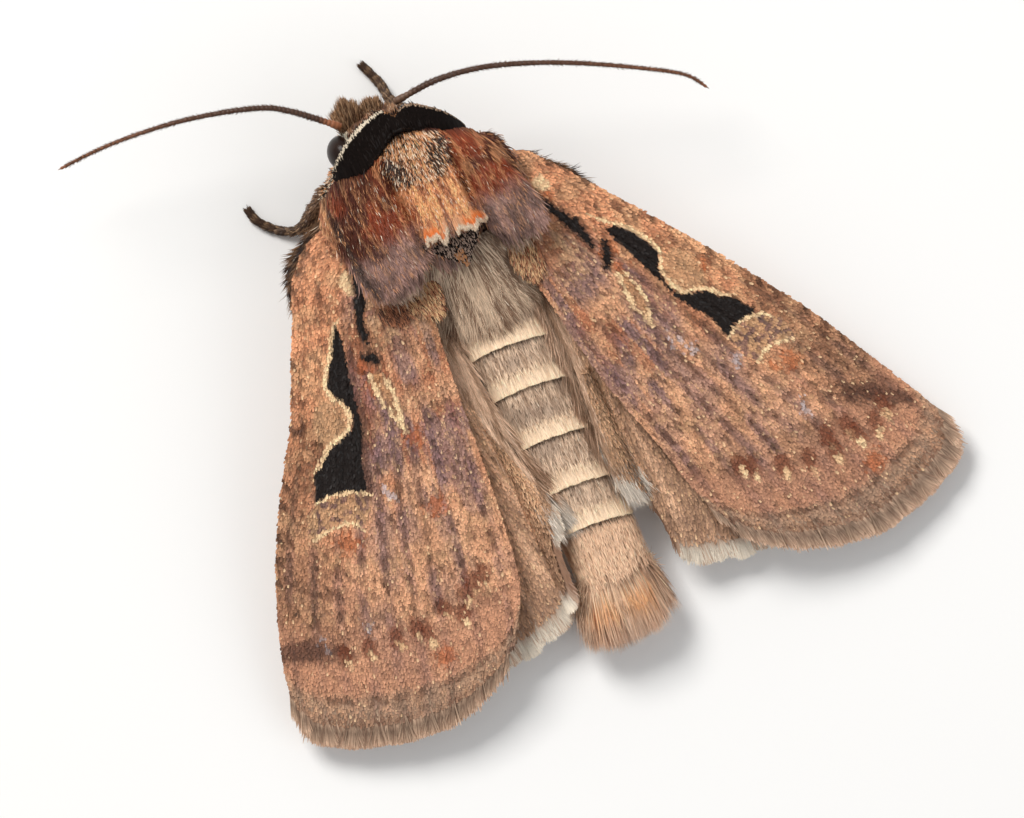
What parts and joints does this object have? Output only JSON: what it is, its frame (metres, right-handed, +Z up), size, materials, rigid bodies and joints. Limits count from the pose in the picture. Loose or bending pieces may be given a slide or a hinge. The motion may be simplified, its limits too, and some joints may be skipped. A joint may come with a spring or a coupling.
{
  "type": "noctuid moth",
  "caption": "Life-size model of a reddish-brown noctuid moth at rest, wings half spread over a banded abdomen, with a black collar.",
  "frame": {"origin": "on the floor under the middle of the outline of the whole moth", "axes": "+X to the moth's right, the longest side; +Y towards its head; +Z up from the floor"},
  "size_m": [0.0238, 0.0228, 0.0061],
  "materials": {
    "forewing_scales": "satin scales",
    "hindwing_scales": "silky scales",
    "thorax_hair": "soft hair",
    "collar_scales": "velvety",
    "head_hair": "soft hair",
    "abdomen_scales": "soft hair",
    "tail_hair": "soft hair",
    "leg_scales": "matte scales",
    "antenna": "matte",
    "eye": "glossy"
  },
  "bodies": {
    "root": {"abdomen": "abdomen_scales", "antenna_left": "antenna", "antenna_right": "antenna", "collar": "collar_scales", "eye_left": "eye", "eye_right": "eye", "foreleg_left": "leg_scales", "foreleg_right": "leg_scales", "forewing_left": "forewing_scales", "forewing_right": "forewing_scales", "head": "head_hair", "hindleg_left": "leg_scales", "hindleg_right": "leg_scales", "hindwing_left": "hindwing_scales", "hindwing_right": "hindwing_scales", "midleg_left": "leg_scales", "midleg_right": "leg_scales", "palp_left": "head_hair", "palp_right": "head_hair", "tail_tuft": "tail_hair", "tegula_left": "thorax_hair", "tegula_right": "thorax_hair", "thorax": "thorax_hair"}
  },
  "joints": []
}
